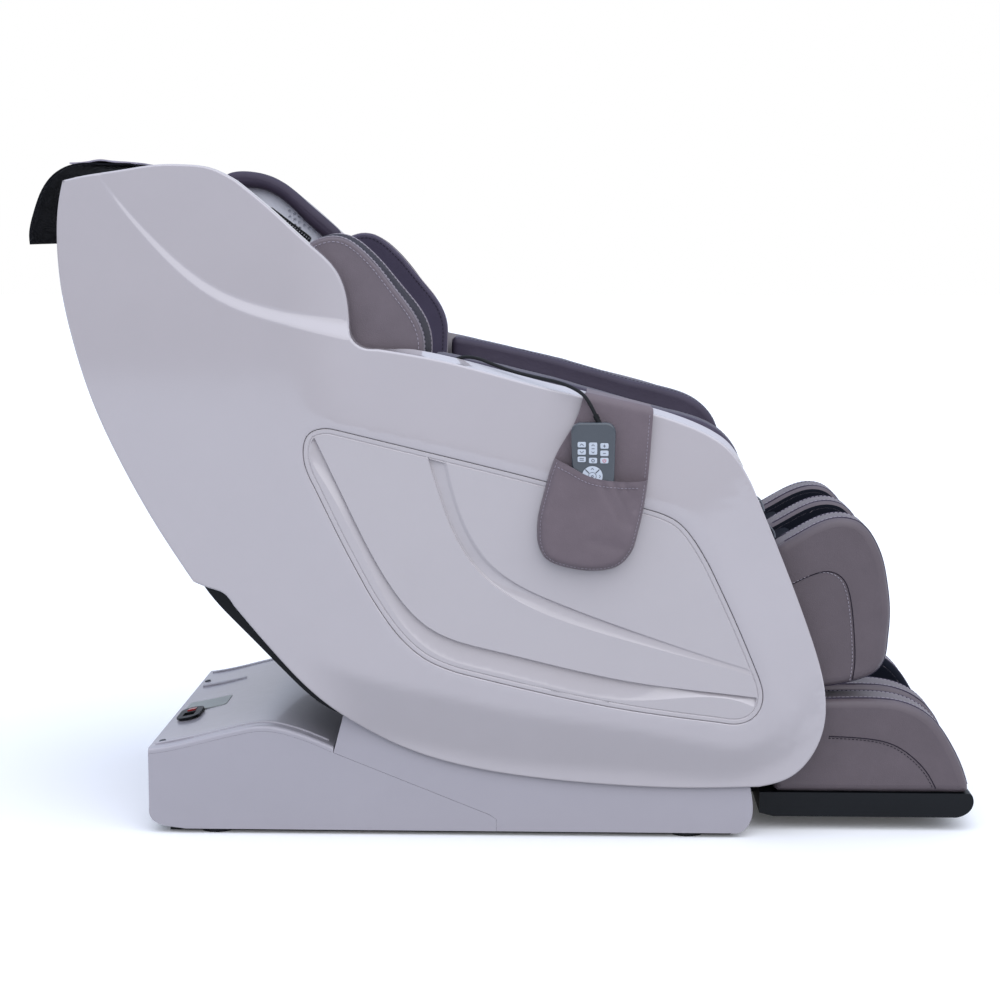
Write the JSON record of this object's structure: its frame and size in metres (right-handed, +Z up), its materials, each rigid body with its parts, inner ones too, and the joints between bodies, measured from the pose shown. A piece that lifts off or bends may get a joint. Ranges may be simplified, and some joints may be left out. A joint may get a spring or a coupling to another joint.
{
  "type": "massage chair",
  "caption": "Capsule massage chair: gloss side shells, leather pads, shoulder wings, a lifting legrest with calf and foot wells, and a wired remote in a side pouch.",
  "frame": {"origin": "on the floor, under the middle of the side shells", "axes": "+X the way the sitter faces, +Y the sitter's left, +Z up"},
  "size_m": [1.6205, 0.8081, 1.1438],
  "materials": {
    "shell_white": "gloss",
    "panel_white": "gloss",
    "base_white": "gloss",
    "leather_brown": "satin, fine grain",
    "leather_dark": "satin, fine grain",
    "pouch_leather": "satin, fine grain",
    "fabric_black": "matte knit",
    "black_plastic": "matte",
    "rubber_black": "matte",
    "frame_steel": "powder coat",
    "rail_steel": "zinc plated",
    "actuator_grey": "satin",
    "rod_steel": "bright",
    "roller_grey": "matte",
    "handset_grey": "satin",
    "key_light": "satin",
    "rocker_red": "gloss"
  },
  "bodies": {
    "floor_base": {"base_frame": "frame_steel", "floor_feet": "rubber_black", "bottom_tray": "black_plastic", "base_cover_right": "base_white", "base_cover_left": "base_white", "rear_housing": "base_white", "rear_top_panel": "base_white", "power_inlet": "black_plastic", "power_supply": "actuator_grey"},
    "seat_capsule": {"side_shell_right": "shell_white", "side_shell_left": "shell_white", "side_panel_right": "panel_white", "side_panel_left": "panel_white", "armrest_pad_right": "leather_dark", "armrest_pad_left": "leather_dark", "wing_liner_right": "shell_white", "wing_liner_left": "shell_white", "wing_trim_right": "leather_dark", "wing_trim_left": "leather_dark", "shoulder_pad_right": "leather_brown", "shoulder_pad_left": "leather_brown", "seat_pad": "leather_brown", "back_pad": "leather_brown", "head_pillow": "leather_brown", "seat_frame": "frame_steel", "guide_rails": "rail_steel", "back_cover": "shell_white", "lower_back_cover": "black_plastic", "leg_actuator": "actuator_grey", "air_pump": "black_plastic", "remote_pouch": "pouch_leather", "handset_case": "handset_grey", "cord_relief": "rubber_black", "handset_cord": "rubber_black"},
    "power_switch": {"power_switch": "rocker_red"},
    "tilt_actuator": {"tilt_actuator": "actuator_grey"},
    "tilt_rod": {"tilt_rod": "rod_steel"},
    "leg_rod": {"leg_rod": "rod_steel"},
    "massage_carriage": {"massage_carriage": "black_plastic"},
    "calf_unit": {"calf_frame": "frame_steel", "calf_pads": "leather_brown", "calf_lining": "fabric_black"},
    "foot_unit": {"foot_base": "black_plastic", "foot_pads": "leather_brown", "foot_lining": "fabric_black"},
    "foot_rollers": {"foot_rollers": "roller_grey"},
    "roller_upper_right": {"roller_upper_right": "roller_grey"},
    "roller_lower_right": {"roller_lower_right": "roller_grey"},
    "roller_upper_left": {"roller_upper_left": "roller_grey"},
    "roller_lower_left": {"roller_lower_left": "roller_grey"},
    "key_left_1": {"key_left_1": "key_light"},
    "key_left_2": {"key_left_2": "key_light"},
    "key_left_3": {"key_left_3": "key_light"},
    "key_middle_tall": {"key_middle_tall": "key_light"},
    "key_middle_low": {"key_middle_low": "key_light"},
    "key_right_1": {"key_right_1": "key_light"},
    "key_right_2": {"key_right_2": "key_light"},
    "key_right_3": {"key_right_3": "key_light"},
    "direction_key": {"direction_key": "key_light"},
    "centre_key": {"centre_key": "key_light"}
  },
  "joints": [
    {"name": "seat_tilt", "type": "hinge", "parent": "floor_base", "child": "seat_capsule", "pos_m": [-0.166, 0, 0.193], "axis": [0, -1, 0], "range_deg": [0, 20]},
    {"name": "tilt_actuator_pivot", "type": "hinge", "parent": "floor_base", "child": "tilt_actuator", "pos_m": [-0.48, 0, 0.085], "axis": [0, -1, 0], "range_deg": [0, 0.72]},
    {"name": "tilt_rod_stroke", "type": "slide", "parent": "tilt_actuator", "child": "tilt_rod", "axis": [0.9997, 0, 0.0255], "range_m": [0, 0.0347]},
    {"name": "legrest_lift", "type": "hinge", "parent": "seat_capsule", "child": "calf_unit", "pos_m": [0.44, 0, 0.5], "axis": [0, -1, 0], "range_deg": [0, 75]},
    {"name": "leg_rod_stroke", "type": "slide", "parent": "seat_capsule", "child": "leg_rod", "axis": [0.8499, 0, 0.527], "range_m": [0, 0.1219]},
    {"name": "foot_extend", "type": "slide", "parent": "calf_unit", "child": "foot_unit", "axis": [0, 0, -1], "range_m": [0, 0.12]},
    {"name": "foot_roller_spin", "type": "hinge", "parent": "foot_unit", "child": "foot_rollers", "pos_m": [0.64, 0, 0.058], "axis": [0, 1, 0], "continuous": true},
    {"name": "carriage_travel", "type": "slide", "parent": "seat_capsule", "child": "massage_carriage", "axis": [-0.5045, 0, 0.8634], "range_m": [-0.22, 0.23]},
    {"name": "roller_upper_right_spin", "type": "hinge", "parent": "massage_carriage", "child": "roller_upper_right", "pos_m": [-0.45069, -0.064, 0.66226], "axis": [0, 1, 0], "continuous": true},
    {"name": "roller_lower_right_spin", "type": "hinge", "parent": "massage_carriage", "child": "roller_lower_right", "pos_m": [-0.39822, -0.064, 0.57247], "axis": [0, 1, 0], "continuous": true},
    {"name": "roller_upper_left_spin", "type": "hinge", "parent": "massage_carriage", "child": "roller_upper_left", "pos_m": [-0.45069, 0.064, 0.66226], "axis": [0, 1, 0], "continuous": true},
    {"name": "roller_lower_left_spin", "type": "hinge", "parent": "massage_carriage", "child": "roller_lower_left", "pos_m": [-0.39822, 0.064, 0.57247], "axis": [0, 1, 0], "continuous": true},
    {"name": "power_switch_rock", "type": "hinge", "parent": "floor_base", "child": "power_switch", "pos_m": [-0.568, -0.078, 0.15622], "axis": [0.9793, 0, 0.2023], "range_deg": [0, 9]},
    {"name": "key_left_1_press", "type": "slide", "parent": "seat_capsule", "child": "key_left_1", "axis": [0, 1, 0], "range_m": [0, 0.0008], "stiffness_N_per_m": 600, "springref_m": -0.0004},
    {"name": "key_left_2_press", "type": "slide", "parent": "seat_capsule", "child": "key_left_2", "axis": [0, 1, 0], "range_m": [0, 0.0008], "stiffness_N_per_m": 600, "springref_m": -0.0004},
    {"name": "key_left_3_press", "type": "slide", "parent": "seat_capsule", "child": "key_left_3", "axis": [0, 1, 0], "range_m": [0, 0.0008], "stiffness_N_per_m": 600, "springref_m": -0.0004},
    {"name": "key_middle_tall_press", "type": "slide", "parent": "seat_capsule", "child": "key_middle_tall", "axis": [0, 1, 0], "range_m": [0, 0.0008], "stiffness_N_per_m": 600, "springref_m": -0.0004},
    {"name": "key_middle_low_press", "type": "slide", "parent": "seat_capsule", "child": "key_middle_low", "axis": [0, 1, 0], "range_m": [0, 0.0008], "stiffness_N_per_m": 600, "springref_m": -0.0004},
    {"name": "key_right_1_press", "type": "slide", "parent": "seat_capsule", "child": "key_right_1", "axis": [0, 1, 0], "range_m": [0, 0.0008], "stiffness_N_per_m": 600, "springref_m": -0.0004},
    {"name": "key_right_2_press", "type": "slide", "parent": "seat_capsule", "child": "key_right_2", "axis": [0, 1, 0], "range_m": [0, 0.0008], "stiffness_N_per_m": 600, "springref_m": -0.0004},
    {"name": "key_right_3_press", "type": "slide", "parent": "seat_capsule", "child": "key_right_3", "axis": [0, 1, 0], "range_m": [0, 0.0008], "stiffness_N_per_m": 600, "springref_m": -0.0004},
    {"name": "direction_key_press", "type": "slide", "parent": "seat_capsule", "child": "direction_key", "axis": [0, 1, 0], "range_m": [0, 0.0008], "stiffness_N_per_m": 600, "springref_m": -0.0004},
    {"name": "centre_key_press", "type": "slide", "parent": "seat_capsule", "child": "centre_key", "axis": [0, 1, 0], "range_m": [0, 0.0008], "stiffness_N_per_m": 600, "springref_m": -0.0004}
  ],
  "couplings": [
    {"joint": "tilt_actuator_pivot", "follows": "seat_tilt", "ratio": 0.0351},
    {"joint": "tilt_rod_stroke", "follows": "seat_tilt", "m_per_rad": 0.099},
    {"joint": "leg_rod_stroke", "follows": "legrest_lift", "m_per_rad": 0.09301},
    {"joint": "foot_extend", "follows": "legrest_lift", "m_per_rad": 0.09165}
  ]
}
